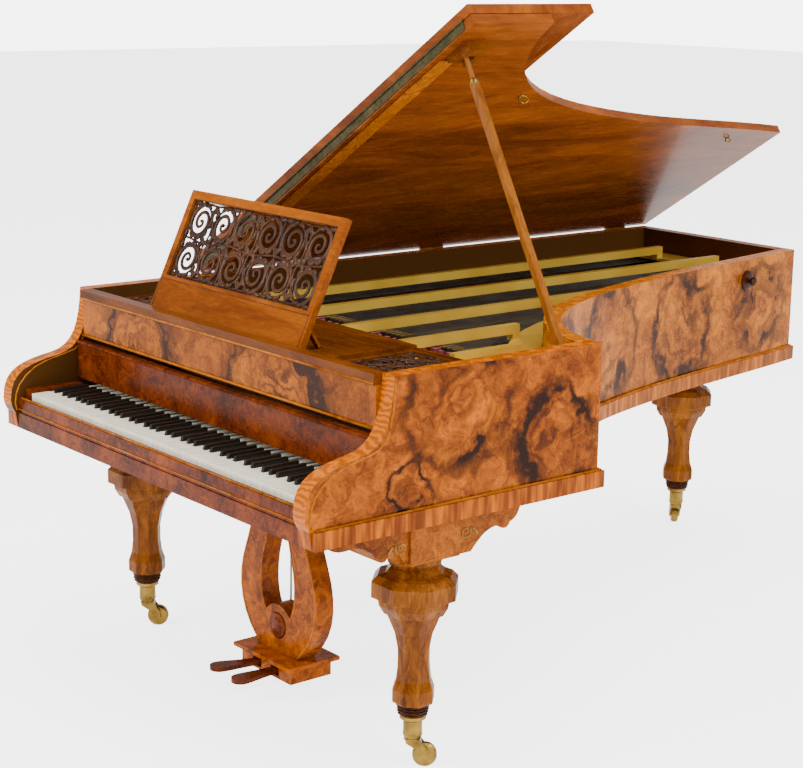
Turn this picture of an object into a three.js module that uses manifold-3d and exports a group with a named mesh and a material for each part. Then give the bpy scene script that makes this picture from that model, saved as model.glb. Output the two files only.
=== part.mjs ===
// Full-size concert grand piano in burr walnut, lid open on its prop, music desk up.
// Millimetres, +Z up. +X is the treble side and +Y the tail; the player sits on the -Y side.
// Inside the piano group, x runs from the centre line, y from the front plinth and z from the floor.
import * as THREE from "three";
import { mergeVertices } from "three/addons/utils/BufferGeometryUtils.js";
import Module from "manifold-3d";

const wasm = await Module();
wasm.setup();

// ---- driving dimensions ----
const WIDTH = 1350; // over the plinth
const LENGTH = 2353; // over the plinth
const ARM_REACH = 18; // the scrolled arms stand this far in front of the plinth
const BOTTOM = 601; // underside of the case
const RIM_TOP = 943;
const RIM = 42; // thickness of the case walls
const PLINTH_PROUD = 12;
const PLINTH_HEIGHT = 40;
const CHEEK_Y = 834; // back of the straight treble side, over the plinth
const TAIL_X = -15; // treble end of the tail, over the plinth
const GAP = 0.3; // air between pieces that touch

const LID_THICK = 24;
const LID_OPEN = THREE.MathUtils.degToRad(32.3);
const LID_FRONT = 590;
const HINGE_X = -668;
const HINGE_Z = 945;
const FLAP_LENGTH = 385;
const FLAP_HINGE = 3; // the flap's pin stands this far in front of the lid's edge

const NATURAL = 23.6; // key pitch at the front
const KEY_COUNT = 85;
const KEY_TOP = 693;
const KEY_FRONT = 25.5;
const KEY_BACK = 420;
const KEY_HEAD = 50;
const SHARP_RISE = 11;
const SHARP_LENGTH = 98;

const FALL_PIN = [186, 719]; // y, z of the fallboard's hinge
const FALL_HEIGHT = 99;
const FALL_THICK = 16;

const SHELF_TOP = 920;
const TRAY_TOP = 911;
const TRAY_X = 352;
const DESK_WIDTH = 642;
const DESK_X = -24; // the desk stands a little to the bass side
const DESK_Y = 242;
const DESK_HEIGHT = 324;
const DESK_LEAN = THREE.MathUtils.degToRad(65);
const DESK_THICK = 16;
const DESK_BOARD = 100;

const STRING_Z = 858;
const BAR_Z = 884;
const WHEEL_RADIUS = 28.5;
const WHEEL_SIDES = 24;
const WHEEL_Z = WHEEL_RADIUS * Math.cos(Math.PI / WHEEL_SIDES); // the wheel stands on a flat of its rim
const CASTOR_OFFSET = 28;
const PROP_FOOT = [596, 756, 926];
const PROP_HEAD = [1214, 646, -17]; // in the lid's own frame: along the slope, back, below the lid

const LID_EDGE = 0.3; // the lid's spine edge, from its hinge pin
const HINGE_YS = [700, 1420, 2208];
const LEG_X = 575;
const LEG_Y = 350;
const TAIL_LEG = [-355, 2225];
const LYRE_Y = 407;
const PEDAL_X = 38;
const PEDAL_Z = 56;
const ROD_X = 27;
const ROD_Y = LYRE_Y + 34;

const HALF = WIDTH / 2;
const WALL_OUT = HALF - PLINTH_PROUD;
const WALL_IN = WALL_OUT - RIM;
const PLINTH_TOP = BOTTOM + PLINTH_HEIGHT;

// ---- finishes ----
const wood = (color, roughness = 0.35) => new THREE.MeshStandardMaterial({ color, roughness });
const metal = (color, roughness = 0.35) =>
  new THREE.MeshStandardMaterial({ color, roughness, metalness: 1 });
const BURR_WALNUT = wood(0xa8551b);
const DARK_BURR = wood(0x6e2a12);
const STRAIGHT_WALNUT = wood(0xb06a25);
const FRETWORK = wood(0x59331c, 0.5);
const INNER_WOOD = wood(0x8a5a30, 0.6);
const SPRUCE = wood(0x5d5742, 0.6);
const IVORY = new THREE.MeshStandardMaterial({ color: 0xf3ead6, roughness: 0.3 });
const FELT = new THREE.MeshStandardMaterial({ color: 0x7d1226, roughness: 0.95 });
const GILT_IRON = metal(0xc39a4a, 0.45);
const BRASS = metal(0xb89a52, 0.3);
const STEEL = metal(0x5b5e60, 0.35);

// ---- geometry helpers ----
const piano = new THREE.Group();
// The folded flap's corner reaches furthest to the bass.
// The frame's origin is midway from it to the plinth.
const stackCorner = HINGE_X + LID_EDGE * Math.cos(LID_OPEN) - (2 * LID_THICK + 2) * Math.sin(LID_OPEN);
piano.position.set(-(stackCorner + HALF) / 2, -(LENGTH - ARM_REACH) / 2, 0);

// A geometry as a manifold-3d solid, and back.
function solid(geometry) {
  const bare = geometry.index ? geometry.toNonIndexed() : geometry.clone();
  bare.deleteAttribute("normal");
  bare.deleteAttribute("uv");
  const merged = mergeVertices(bare, 1e-4);
  return new wasm.Manifold(
    new wasm.Mesh({
      numProp: 3,
      vertProperties: new Float32Array(merged.attributes.position.array),
      triVerts: new Uint32Array(merged.index.array),
    }),
  );
}
function geometryOf(body) {
  const mesh = body.getMesh();
  const geometry = new THREE.BufferGeometry();
  geometry.setAttribute("position", new THREE.BufferAttribute(mesh.vertProperties, 3));
  geometry.setIndex(new THREE.BufferAttribute(mesh.triVerts, 1));
  return geometry;
}
const join = (...parts) => geometryOf(parts.map(solid).reduce((a, b) => a.add(b)));
const cut = (body, ...tools) =>
  geometryOf(tools.map(solid).reduce((a, b) => a.subtract(b), solid(body)));
const common = (a, b) => geometryOf(solid(a).intersect(solid(b)));

function add(name, geometry, material, parent = piano) {
  const mesh = new THREE.Mesh(geometry, material);
  mesh.name = name;
  parent.add(mesh);
  return mesh;
}
const box = (x0, x1, y0, y1, z0, z1) =>
  new THREE.BoxGeometry(x1 - x0, y1 - y0, z1 - z0).translate((x0 + x1) / 2, (y0 + y1) / 2, (z0 + z1) / 2);

// A cylinder on an axis: "x", "y" or "z".
function rod(axis, radius, length, x, y, z, sides = 12) {
  const geometry = new THREE.CylinderGeometry(radius, radius, length, sides);
  if (axis === "x") geometry.rotateZ(Math.PI / 2);
  if (axis === "z") geometry.rotateX(Math.PI / 2);
  return geometry.translate(x, y, z);
}
const outline = (points) => new THREE.Shape(points.map(([a, b]) => new THREE.Vector2(a, b)));
const extrude = (shape, depth, curveSegments = 8) =>
  new THREE.ExtrudeGeometry(shape, { depth, curveSegments, bevelEnabled: false });
const basis = (x, y, z) =>
  new THREE.Matrix4().makeBasis(new THREE.Vector3(...x), new THREE.Vector3(...y), new THREE.Vector3(...z));

// A board standing along the piano's length: its outline is in (y, z), from x0 to x1.
const sideBoard = (shape, x0, x1, segments) =>
  extrude(shape, x1 - x0, segments)
    .applyMatrix4(basis([0, 1, 0], [0, 0, 1], [1, 0, 0]))
    .translate(x0, 0, 0);
// A board facing the player: its outline is in (x, z), from y0 to y1.
const frontBoard = (shape, y0, y1, segments) =>
  extrude(shape, y1 - y0, segments)
    .applyMatrix4(basis([1, 0, 0], [0, 0, 1], [0, -1, 0]))
    .translate(0, y1, 0);
// A flat board: its outline is in (x, y), from z0 to z1.
const flatBoard = (shape, z0, z1, segments) => extrude(shape, z1 - z0, segments).translate(0, 0, z0);

// ---- the bent side's line, over the plinth, from the cheek to the tail ----
const bend = [
  new THREE.CubicBezierCurve(
    new THREE.Vector2(HALF, CHEEK_Y),
    new THREE.Vector2(325, 850),
    new THREE.Vector2(205, 1250),
    new THREE.Vector2(115, 1643),
  ),
  new THREE.CubicBezierCurve(
    new THREE.Vector2(115, 1643),
    new THREE.Vector2(70, 1840),
    new THREE.Vector2(40, 2100),
    new THREE.Vector2(TAIL_X, LENGTH),
  ),
];
// Points along that line, moved inwards by depth.
function bendLine(depth, steps = [14, 7]) {
  const points = [];
  bend.forEach((curve, part) => {
    for (let i = part; i <= steps[part]; i++) {
      const t = i / steps[part];
      const at = curve.getPoint(t);
      const along = curve.getTangent(t);
      points.push([at.x - along.y * depth, at.y + along.x * depth]);
    }
  });
  return points;
}
// The plan of everything inside the line at depth, between the front and back limits.
function insidePlan(depth, x0, y0, y1) {
  const line = bendLine(depth);
  const far = LENGTH + 50;
  const plan = outline([[x0, y0], [line[0][0], y0], ...line, [TAIL_X - depth, far], [x0, far]]);
  return (z0, z1) => common(flatBoard(plan, z0, z1), box(x0, HALF - depth, y0, y1, z0 - 1, z1 + 1));
}

// ---- case ----
// The side's outline: a scrolled arm in front, straight behind.
function sideOutline(back) {
  const shape = new THREE.Shape();
  shape.moveTo(213, RIM_TOP);
  shape.bezierCurveTo(206, 850, 192, 790, 120, 779);
  shape.bezierCurveTo(40, 766, -ARM_REACH, 752, -ARM_REACH, 677);
  shape.bezierCurveTo(-ARM_REACH, 660, -12, 650, -6, PLINTH_TOP);
  shape.lineTo(0, BOTTOM);
  shape.lineTo(back, BOTTOM);
  shape.lineTo(back, RIM_TOP);
  return shape;
}
add(
  "case_spine",
  join(
    sideBoard(sideOutline(LENGTH - PLINTH_PROUD), -WALL_OUT, -WALL_IN),
    box(-HALF, -WALL_IN, 0, LENGTH, BOTTOM, PLINTH_TOP),
  ),
  BURR_WALNUT,
);
add(
  "case_treble_side",
  join(
    sideBoard(sideOutline(CHEEK_Y - PLINTH_PROUD), WALL_IN, WALL_OUT),
    box(WALL_IN, HALF, 0, CHEEK_Y, BOTTOM, PLINTH_TOP),
  ),
  BURR_WALNUT,
);
function bentWall(outer, inner, back, z0, z1) {
  const ends = (depth) => [...bendLine(depth), [TAIL_X - depth - 12, LENGTH + 50]];
  const strip = outline([...ends(outer), ...ends(inner).reverse()]);
  return common(flatBoard(strip, z0, z1), box(-400, WALL_IN - GAP, 700, back, z0 - 1, z1 + 1));
}
const bentInner = PLINTH_PROUD + RIM;
add(
  "case_bentside",
  join(
    bentWall(PLINTH_PROUD, bentInner, LENGTH - PLINTH_PROUD, BOTTOM, RIM_TOP),
    bentWall(0, bentInner, LENGTH, BOTTOM, PLINTH_TOP),
  ),
  BURR_WALNUT,
);
const tailEnd = TAIL_X - bentInner - 2.5;
add(
  "case_tail",
  join(
    box(-WALL_IN + GAP, tailEnd, LENGTH - PLINTH_PROUD - RIM, LENGTH - PLINTH_PROUD, BOTTOM, RIM_TOP),
    box(-WALL_IN + GAP, tailEnd, LENGTH - PLINTH_PROUD - RIM, LENGTH, BOTTOM, PLINTH_TOP),
  ),
  BURR_WALNUT,
);

const INNER = WALL_IN - GAP;
add(
  "keybed",
  cut(
    join(box(-INNER, INNER, 0, 600, BOTTOM, PLINTH_TOP), box(-INNER, INNER, 215, 255, PLINTH_TOP - 1, 670)),
    ...[-ROD_X, ROD_X].map((x) => rod("z", 6, 60, x, ROD_Y, BOTTOM + 5, 8)),
  ),
  INNER_WOOD,
);
add("key_slip", box(-INNER, INNER, 3, 22, PLINTH_TOP + GAP, 677), DARK_BURR);
const KEYS_HALF = (50 * NATURAL) / 2; // fifty naturals
add("key_block_bass", box(-INNER, -KEYS_HALF - 1, 24, 176, PLINTH_TOP + GAP, 701), DARK_BURR);
add("key_block_treble", box(KEYS_HALF + 1, INNER, 24, 176, PLINTH_TOP + GAP, 701), DARK_BURR);

// Beams under the soundboard, from the belly rail to the tail.
const bellyInside = insidePlan(bentInner + GAP, -INNER, 620, LENGTH - PLINTH_PROUD - RIM - GAP);
const beamGrid = [
  box(-620, 640, 620, 664, BOTTOM + 6, 760),
  box(-620, 640, 1180, 1230, BOTTOM + 6, 700),
  box(-620, 640, 1760, 1810, BOTTOM + 6, 700),
  box(-440, -390, 650, 2290, BOTTOM + 6, 700),
  box(-190, -140, 650, 2290, BOTTOM + 6, 700),
  box(60, 110, 650, 1800, BOTTOM + 6, 700),
];
add("case_beams", common(join(...beamGrid), bellyInside(BOTTOM, 800)), INNER_WOOD);

// ---- soundboard, bridge, frame and strings ----
const boardPlan = insidePlan(bentInner + GAP, -INNER, 668, LENGTH - PLINTH_PROUD - RIM - GAP);
// The bridge keeps its distance from the bent side, then turns across the tail to the bass.
const bridgeLine = [
  ...bendLine(bentInner + 150).filter(([, y], i) => i % 3 === 1 && y < 1950),
  [-210, 2105],
  [-480, 2165],
];
function ribbon(points, width) {
  const curve = new THREE.CatmullRomCurve3(points.map(([x, y]) => new THREE.Vector3(x, y, 0)));
  const left = [];
  const right = [];
  for (let i = 0; i <= 18; i++) {
    const at = curve.getPoint(i / 18);
    const along = curve.getTangent(i / 18);
    left.push([at.x - (along.y * width) / 2, at.y + (along.x * width) / 2]);
    right.push([at.x + (along.y * width) / 2, at.y - (along.x * width) / 2]);
  }
  return outline([...left, ...right.reverse()]);
}
add(
  "soundboard",
  join(boardPlan(800, 809), flatBoard(ribbon(bridgeLine, 30), 808, STRING_Z - 4)),
  SPRUCE,
);
add("wrest_plank", box(-INNER, INNER, 430, 600, 800, 846), INNER_WOOD);

// How far back a string at x can run before it meets the hitch plate.
const hitchLine = bendLine(bentInner + 95);
function stringEnd(x) {
  const tail = LENGTH - PLINTH_PROUD - RIM - 110;
  for (let i = 1; i < hitchLine.length; i++) {
    const [xa, ya] = hitchLine[i - 1];
    const [xb, yb] = hitchLine[i];
    if (x <= xa && x > xb) return Math.min(tail, ya + ((yb - ya) * (xa - x)) / (xa - xb));
  }
  return x > hitchLine[0][0] ? hitchLine[0][1] : tail;
}
const plateOuter = insidePlan(bentInner + 3, -INNER + 2, 560, LENGTH - PLINTH_PROUD - RIM - 3);
const plateHole = insidePlan(bentInner + 85, -598, 640, LENGTH - PLINTH_PROUD - RIM - 100);
const barXs = [-470, -230, 10, 240, 430];
const bars = barXs.map((x) => {
  const back = stringEnd(x) + 30;
  return join(
    box(x - 10, x + 10, 570, back, BAR_Z, BAR_Z + 24),
    box(x - 10, x + 10, 570, 596, 866, BAR_Z + 2),
    box(x - 10, x + 10, back - 24, back, STRING_Z + 10, BAR_Z + 2),
  );
});
const plate = cut(plateOuter(STRING_Z + 5, STRING_Z + 14), plateHole(STRING_Z, STRING_Z + 20));
add("iron_frame", join(plate, ...bars), GILT_IRON);

const strings = [];
for (let i = 0; i < 40; i++) {
  const x = -585 + i * 29;
  if (barXs.some((b) => Math.abs(b - x) < 13)) continue;
  strings.push(box(x - 2, x + 2, 598, stringEnd(x) + 12, STRING_Z, STRING_Z + 2));
}
add("strings", join(box(-590, 590, 590, 602, STRING_Z - 1, STRING_Z + 3), ...strings), STEEL);

// Dampers stand on the strings behind the wrest plank, up to the top treble.
const dampers = [box(-590, 470, 690, 702, STRING_Z + 3, STRING_Z + 8)];
for (let x = -580; x < 470; x += 30) dampers.push(box(x, x + 14, 672, 720, STRING_Z + 3, STRING_Z + 17));
add("damper_row", join(...dampers), FELT);

// Hammers on their rail, under the strings.
const hammers = [box(-586, 586, 470, 500, 700, 730)];
for (let x = -580; x < 575; x += 33)
  hammers.push(box(x, x + 12, 484, 610, 728, 734), box(x, x + 12, 590, 612, 728, 790));
add("hammer_action", join(...hammers), INNER_WOOD);

// ---- front boards, desk shelf and fret trays ----
add("front_board", box(-INNER, INNER, 197, 214, 818, 918), BURR_WALNUT);
add("front_rail", box(-INNER, INNER, 190, 224, 918 + GAP, RIM_TOP), STRAIGHT_WALNUT);
const STRUT_X = 265; // from the desk's middle
add(
  "desk_shelf",
  cut(
    join(
      box(-TRAY_X + 2, TRAY_X - 2, 225, 530, 904, SHELF_TOP),
      box(-INNER, INNER, 225, 234, 904, 914),
      box(-INNER, INNER, 522, 530, 904, 914),
    ),
    // the slot whose back edge holds the strut's foot
    box(DESK_X + STRUT_X - 13, DESK_X + STRUT_X + 13, DESK_Y - 7.5, DESK_Y + 86, 900, 925),
  ),
  STRAIGHT_WALNUT,
);
function fretTray(x0, x1) {
  const frame = outline([[x0, 236], [x1, 236], [x1, 520], [x0, 520]]);
  const columns = 4;
  const rows = 4;
  for (let i = 0; i < columns; i++)
    for (let j = 0; j < rows; j++) {
      const x = x0 + ((x1 - x0) * (i + 0.5)) / columns;
      const y = 236 + (284 * (j + 0.5)) / rows;
      frame.holes.push(new THREE.Path().absarc(x, y, 22, 0, Math.PI * 2));
    }
  return flatBoard(frame, TRAY_TOP - 12, TRAY_TOP, 4);
}
add("fret_tray_bass", fretTray(-INNER + 2, -TRAY_X), FRETWORK);
add("fret_tray_treble", fretTray(TRAY_X, INNER - 2), FRETWORK);

// ---- music desk, drawn flat in its own (x, up) plane and leaned back on its hinge ----
const desk = new THREE.Group();
desk.position.set(DESK_X, DESK_Y, SHELF_TOP + 1);
desk.rotation.x = DESK_LEAN; // its own y runs up the slope
piano.add(desk);
const STILE = 24;
const half = DESK_WIDTH / 2;
const deskFrame = outline([[-half, 0], [half, 0], [half, DESK_HEIGHT], [-half, DESK_HEIGHT]]);
deskFrame.holes.push(
  new THREE.Path([
    [-half + STILE, DESK_BOARD],
    [-half + STILE, DESK_HEIGHT - STILE],
    [half - STILE, DESK_HEIGHT - STILE],
    [half - STILE, DESK_BOARD],
  ].map(([x, y]) => new THREE.Vector2(x, y))),
);
const strutPocket = box(STRUT_X - 11, STRUT_X + 11, -1, DESK_BOARD - 7, -1, 9.2);
add("desk_frame", cut(flatBoard(deskFrame, 0, DESK_THICK), strutPocket), STRAIGHT_WALNUT, desk);
const fretX = half - STILE - GAP;
const fret = outline([
  [-fretX, DESK_BOARD + GAP],
  [fretX, DESK_BOARD + GAP],
  [fretX, DESK_HEIGHT - STILE - GAP],
  [-fretX, DESK_HEIGHT - STILE - GAP],
]);
for (let i = 0; i < 6; i++)
  for (let j = 0; j < 2; j++) {
    const holeX = -fretX + (fretX * (2 * i + 1)) / 6;
    fret.holes.push(new THREE.Path().absarc(holeX, 150 + j * 98, 34, 0, Math.PI * 2));
  }
add("desk_fret", flatBoard(fret, 5, 11, 5), FRETWORK, desk);

// The strut behind the desk, from a hinge on the back of the bottom board down to the shelf.
const STRUT_SPREAD = THREE.MathUtils.degToRad(56); // between the strut and the desk's back
const strut = new THREE.Group();
strut.position.set(STRUT_X, 88, 4.3);
strut.rotation.x = Math.PI + STRUT_SPREAD;
desk.add(strut);
add("desk_strut", box(-9, 9, -3, 93.5, -3.5, 3.5), STRAIGHT_WALNUT, strut);

// ---- fallboard ----
const [fallY, fallZ] = FALL_PIN;
add(
  "fallboard",
  join(
    box(-INNER + 1, INNER - 1, fallY - 8, fallY - 8 + FALL_THICK, fallZ - 7, fallZ - 7 + FALL_HEIGHT),
    rod("x", 4, 2 * INNER - 2, 0, fallY - 10, fallZ - 7 + FALL_HEIGHT - 4, 8),
  ),
  DARK_BURR,
);

// ---- keys, one node for each octave from A ----
const OCTAVE = 7 * NATURAL;
const STEM = OCTAVE / 12;
const NATURAL_OF = { 0: 0, 2: 1, 4: 2, 5: 3, 7: 4, 9: 5, 11: 6 };
function octaveOfKeys(first, last) {
  const left = -KEYS_HALF - 5 * NATURAL;
  const stemX = (key) => left + Math.floor((9 + key) / 12) * OCTAVE + ((9 + key) % 12) * STEM;
  const parts = [];
  for (let key = first; key <= last; key++) {
    const step = (9 + key) % 12;
    const sharp = !(step in NATURAL_OF);
    const x = Math.min(stemX(key), KEYS_HALF - STEM);
    const front = sharp ? KEY_FRONT + KEY_HEAD + 3 : KEY_FRONT + KEY_HEAD - 2;
    parts.push(box(x + 0.5, x + STEM - 0.5, front, KEY_BACK, KEY_TOP - 20, sharp ? KEY_TOP - 2 : KEY_TOP));
    if (sharp)
      parts.push(
        box(x + 1.5, x + STEM - 1.5, front, front + SHARP_LENGTH, KEY_TOP - 3, KEY_TOP + SHARP_RISE),
      );
    else {
      const head = left + Math.floor((9 + key) / 12) * OCTAVE + NATURAL_OF[step] * NATURAL;
      const headBack = KEY_FRONT + KEY_HEAD;
      parts.push(box(head + 0.4, head + NATURAL - 0.4, KEY_FRONT, headBack, KEY_TOP - 20, KEY_TOP));
    }
  }
  const from = stemX(first);
  const to = Math.min(stemX(last), KEYS_HALF - STEM) + STEM;
  parts.push(box(from + 0.5, to - 0.5, KEY_BACK - 20, KEY_BACK, KEY_TOP - 22, KEY_TOP + 3));
  return join(...parts);
}
for (let i = 0; i < 7; i++)
  add("keys_octave_" + (i + 1), octaveOfKeys(i * 12, i === 6 ? KEY_COUNT - 1 : i * 12 + 11), IVORY);

// ---- lid, drawn closed in its own frame with its hinge along y, then turned open ----
const lid = new THREE.Group();
lid.position.set(HINGE_X, 0, HINGE_Z);
lid.rotation.y = -LID_OPEN;
piano.add(lid);
const fromHinge = ([x, y]) => [x - HINGE_X, y];
const lidPlan = outline([
  [LID_EDGE, LID_FRONT + 1],
  fromHinge([WALL_OUT, LID_FRONT + 1]),
  fromHinge([WALL_OUT, CHEEK_Y + 0.5]),
  ...bendLine(0).slice(1).map(fromHinge),
  [LID_EDGE, LENGTH],
]);
const knuckleCuts = HINGE_YS.map((y) => box(-1, 6, y - 46, y + 46, -1, 6));
add("lid", cut(flatBoard(lidPlan, 0, LID_THICK), ...knuckleCuts), BURR_WALNUT, lid);
const flapPinY = LID_FRONT + 1 - FLAP_HINGE;
const flapPinZ = LID_THICK + 1;
const flapBack = LID_FRONT + 1 + FLAP_LENGTH;
add(
  "lid_flap",
  box(LID_EDGE, WALL_OUT - HINGE_X, LID_FRONT + 1, flapBack, LID_THICK + 2, 2 * LID_THICK + 2),
  BURR_WALNUT,
  lid,
);
add(
  "flap_hinge",
  join(
    rod("x", 2.4, 1280, 665, flapPinY, flapPinZ, 8),
    box(30, 1300, LID_FRONT - 0.7, LID_FRONT + 0.7, 4, LID_THICK + 1),
  ),
  BRASS,
  lid,
);
const [headX, headY, headZ] = PROP_HEAD;
add(
  "prop_catch",
  cut(
    box(headX - 35, headX + 45, headY - 26, headY + 34, -26, -GAP),
    // open downhill and to the front, so the prop can swing out
    box(headX - 60, headX + 16, headY - 60, headY + 16, -40, headZ + 3),
  ),
  STRAIGHT_WALNUT,
  lid,
);
for (const [i, name] of ["lid_hinge_front", "lid_hinge_middle", "lid_hinge_tail"].entries()) {
  const y = HINGE_YS[i];
  add(
    name,
    join(
      rod("y", 4.5, 90, HINGE_X, y, HINGE_Z, 10),
      box(-WALL_OUT - 3, -WALL_OUT - GAP, y - 45, y + 45, 905, HINGE_Z - 1),
    ),
    BRASS,
  );
}

// ---- lid prop ----
lid.updateMatrixWorld(true);
piano.updateMatrixWorld(true);
const footAt = new THREE.Vector3(...PROP_FOOT);
const headAt = piano.worldToLocal(lid.localToWorld(new THREE.Vector3(headX, headY, headZ)));
const propLength = headAt.distanceTo(footAt);
const prop = new THREE.Group();
prop.position.copy(footAt);
prop.quaternion.setFromUnitVectors(new THREE.Vector3(0, 0, 1), headAt.clone().sub(footAt).normalize());
piano.add(prop);
add(
  "lid_prop",
  join(box(-8, 8, -9, 9, -8, propLength - 60), rod("z", 6, 66, 0, 0, propLength - 33, 8)),
  STRAIGHT_WALNUT,
  prop,
);

// ---- legs, octagonal, with their trusses and castors ----
const legProfile = [
  [0, 126],
  [30, 126],
  [34, 134],
  [34, 150],
  [48, 158],
  [50, 162],
  [50, 190],
  [42, 212],
  [38, 245],
  [38, 285],
  [46, 325],
  [64, 368],
  [72, 372],
  [84, 392],
  [86, 404],
  [102, 412],
  [102, 448],
  [88, 462],
  [70, 468],
  [56, 482],
];
const TRUSS_BOTTOM = 503;
const legs = [
  { name: "front_bass", x: -LEG_X, y: LEG_Y, top: TRUSS_BOTTOM, trail: 52 },
  { name: "front_treble", x: LEG_X, y: LEG_Y, top: TRUSS_BOTTOM, trail: 52 },
  { name: "tail", x: TAIL_LEG[0], y: TAIL_LEG[1], top: BOTTOM, trail: 140 },
];
function leg(top) {
  const points = [...legProfile, [64, 492], [66, TRUSS_BOTTOM - GAP]];
  if (top > TRUSS_BOTTOM) points.push([84, 560], [86, top - GAP]);
  points.push([0, points.at(-1)[1]]);
  const turned = new THREE.LatheGeometry(points.map(([r, z]) => new THREE.Vector2(r, z)), 8, Math.PI / 8);
  return turned.rotateX(Math.PI / 2);
}
function castorFork() {
  const arm = outline([[-16, 68], [16, 68], [34, 44], [36, 24], [22, 20], [8, 44], [-16, 60]]);
  const cheeks = frontBoard(arm, -17, 17);
  const slot = box(-2, 60, -12, 12, 0, 60.5);
  const stem = rod("z", 20, 6, 0, 0, 67, 12);
  const axle = rod("y", 4, 34, CASTOR_OFFSET, 0, WHEEL_Z, 8);
  return join(cut(cheeks, slot), stem, axle);
}
const wheelProfile = [
  [4.4, -10.5],
  [24, -10.5],
  [WHEEL_RADIUS, -6],
  [WHEEL_RADIUS, 6],
  [24, 10.5],
  [4.4, 10.5],
  [4.4, -10.5],
].map(([r, z]) => new THREE.Vector2(r, z));
for (const { name, x, y, top, trail } of legs) {
  const stand = new THREE.Group();
  stand.position.set(x, y, 0);
  piano.add(stand);
  add("leg_" + name, leg(top), BURR_WALNUT, stand);
  const cup = new THREE.LatheGeometry(
    [[0, 71], [20, 71], [23, 78], [22, 84], [22, 112], [31, 118], [31, 126 - GAP], [0, 126 - GAP]]
      .map(([r, z]) => new THREE.Vector2(r, z)),
    16,
  ).rotateX(Math.PI / 2);
  add("castor_socket_" + name, cup, BRASS, stand);
  const castor = new THREE.Group();
  castor.rotation.z = THREE.MathUtils.degToRad(trail);
  stand.add(castor);
  add("castor_fork_" + name, castorFork(), BRASS, castor);
  const wheel = new THREE.LatheGeometry(wheelProfile, WHEEL_SIDES, Math.PI / WHEEL_SIDES);
  add("castor_wheel_" + name, wheel.translate(CASTOR_OFFSET, 0, WHEEL_Z), BRASS, castor);
}
function trussOutline() {
  const shape = new THREE.Shape();
  shape.moveTo(60, BOTTOM - GAP);
  shape.lineTo(66, 584);
  shape.bezierCurveTo(96, 560, 120, 576, 150, 570);
  shape.lineTo(184, 552);
  shape.bezierCurveTo(196, 520, 226, 516, 232, 544);
  shape.bezierCurveTo(240, 556, 256, 540, 280, TRUSS_BOTTOM);
  shape.lineTo(465, TRUSS_BOTTOM);
  shape.bezierCurveTo(490, 528, 505, 548, 545, 550);
  shape.bezierCurveTo(556, 536, 574, 534, 582, 552);
  shape.bezierCurveTo(596, 556, 604, 562, 612, 584);
  shape.lineTo(616, BOTTOM - GAP);
  return shape;
}
for (const side of [-1, 1]) {
  const x = side * LEG_X;
  add(
    side < 0 ? "leg_truss_bass" : "leg_truss_treble",
    join(
      sideBoard(trussOutline(), x - 55, x + 55, 6),
      box(x - 62, x + 62, 285, 425, TRUSS_BOTTOM, BOTTOM - GAP),
    ),
    BURR_WALNUT,
  );
}

// ---- pedal lyre ----
const LYRE_FOOT = 92; // top of the pedal box's cap
function lyreOutline() {
  const shape = new THREE.Shape();
  shape.moveTo(-88, BOTTOM - GAP);
  shape.bezierCurveTo(-96, 470, -112, 400, -140, 340);
  shape.bezierCurveTo(-176, 262, -172, 190, -122, 130);
  shape.lineTo(-84, LYRE_FOOT);
  shape.lineTo(84, LYRE_FOOT);
  shape.lineTo(122, 130);
  shape.bezierCurveTo(172, 190, 176, 262, 140, 340);
  shape.bezierCurveTo(112, 400, 96, 470, 88, BOTTOM - GAP);
  const opening = new THREE.Path();
  opening.moveTo(0, 560);
  opening.bezierCurveTo(-26, 500, -40, 400, -62, 330);
  opening.bezierCurveTo(-76, 270, -70, 220, -50, 192);
  opening.absarc(0, 150, 65, Math.PI * 0.78, Math.PI * 0.22, true);
  opening.bezierCurveTo(70, 220, 76, 270, 62, 330);
  opening.bezierCurveTo(40, 400, 26, 500, 0, 560);
  shape.holes.push(opening);
  return shape;
}
add("lyre_frame", frontBoard(lyreOutline(), LYRE_Y - 26, LYRE_Y + 26, 6), BURR_WALNUT);
const BOX_FRONT = LYRE_Y - 62;
const BOX_BACK = LYRE_Y + 62;
const pedalSlot = (x) => box(x - 17, x + 17, BOX_FRONT - 5, BOX_BACK - 8, PEDAL_Z - 7, PEDAL_Z + 18);
add(
  "lyre_box",
  cut(
    join(
      box(-106, 106, BOX_FRONT, BOX_BACK, 42, LYRE_FOOT - 9),
      box(-122, 122, BOX_FRONT - 16, BOX_BACK + 16, LYRE_FOOT - 10, LYRE_FOOT - GAP),
    ),
    pedalSlot(-PEDAL_X),
    pedalSlot(PEDAL_X),
    rod("z", 5, 50, -ROD_X, ROD_Y, 90, 8),
    rod("z", 5, 50, ROD_X, ROD_Y, 90, 8),
  ),
  BURR_WALNUT,
);
// A pedal lever, straight in the box; in front of it the blade turns aside by splay.
function pedal(x, splay) {
  const tip = new THREE.Vector2(0, -100).rotateAround(new THREE.Vector2(), splay);
  const side = new THREE.Vector2(24, 0).rotateAround(new THREE.Vector2(), splay);
  const root = new THREE.Vector2(x, BOX_FRONT - 12);
  const at = (along, across) => root.clone().addScaledVector(tip, along).addScaledVector(side, across);
  const blade = new THREE.Shape();
  blade.moveTo(x - 13, BOX_BACK - 20);
  blade.lineTo(x - 13, BOX_FRONT - 8);
  const left = [at(0.35, -0.6), at(0.65, -1), at(0.9, -1)];
  const right = [at(0.9, 1), at(0.65, 1), at(0.35, 0.6)];
  blade.bezierCurveTo(left[0].x, left[0].y, left[1].x, left[1].y, left[2].x, left[2].y);
  const nose = at(0.9, 0);
  blade.absarc(nose.x, nose.y, 24, Math.PI + splay, 2 * Math.PI + splay);
  blade.bezierCurveTo(right[1].x, right[1].y, right[2].x, right[2].y, x + 13, BOX_FRONT - 8);
  blade.lineTo(x + 13, BOX_BACK - 20);
  return flatBoard(blade, PEDAL_Z, PEDAL_Z + 11, 6);
}
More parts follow.
